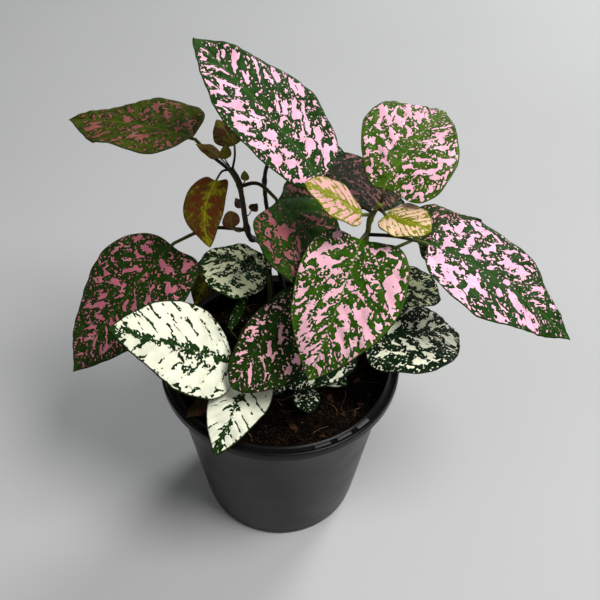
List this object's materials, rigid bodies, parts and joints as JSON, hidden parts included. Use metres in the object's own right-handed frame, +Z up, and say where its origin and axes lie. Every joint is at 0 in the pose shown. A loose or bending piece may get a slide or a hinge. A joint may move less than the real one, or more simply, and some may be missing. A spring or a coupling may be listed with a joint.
{
  "type": "potted polka dot plant",
  "caption": "Spotted foliage houseplant in a round nursery pot: pink, rose and white splashed leaves on thin branching stems over dark soil.",
  "frame": {"origin": "centre of the pot's underside", "axes": "+Z up along the pot's axis, -Y towards the plant's front, +X to the right seen from the front"},
  "size_m": [0.2517, 0.1625, 0.2753],
  "materials": {
    "pot_plastic": "semi-gloss",
    "soil": "rough",
    "stem": "satin",
    "leaf_pink": "satin",
    "leaf_rose": "satin",
    "leaf_white": "satin",
    "leaf_young": "satin",
    "leaf_red": "satin"
  },
  "bodies": {
    "root": {"pot": "pot_plastic", "soil": "soil", "stem_left": "stem", "stem_right": "stem", "stem_back": "stem", "stem_white_left": "stem", "stem_white_right": "stem", "leaf_rose_far_left": "leaf_rose", "leaf_pink_top": "leaf_pink", "leaf_pink_round": "leaf_pink", "leaf_pink_front": "leaf_pink", "leaf_pink_right": "leaf_pink", "leaf_pink_right_back": "leaf_rose", "leaf_rose_centre": "leaf_rose", "leaf_rose_low": "leaf_rose", "leaf_rose_left": "leaf_rose", "leaf_white_left": "leaf_white", "leaf_white_rim": "leaf_white", "leaf_white_shaded": "leaf_white", "leaf_white_sliver": "leaf_white", "leaf_olive_back": "leaf_red", "leaf_white_right_back": "leaf_white", "leaf_white_right": "leaf_white", "leaf_white_under": "leaf_white", "leaf_white_low": "leaf_white", "leaf_seedling": "leaf_white", "leaf_seedling_small": "leaf_white", "leaf_young_left": "leaf_young", "leaf_young_right": "leaf_young", "leaf_red_hanging": "leaf_red", "leaf_red_crown": "leaf_red", "leaf_red_small": "leaf_red", "leaf_red_tiny": "leaf_red", "leaf_bud": "leaf_red", "leaf_red_round": "leaf_red", "leaf_red_pair_left": "leaf_red", "leaf_red_pair_right": "leaf_red", "leaf_dark_back": "leaf_rose", "leaf_grey_back": "leaf_white", "leaf_red_soil": "leaf_red"}
  },
  "joints": []
}
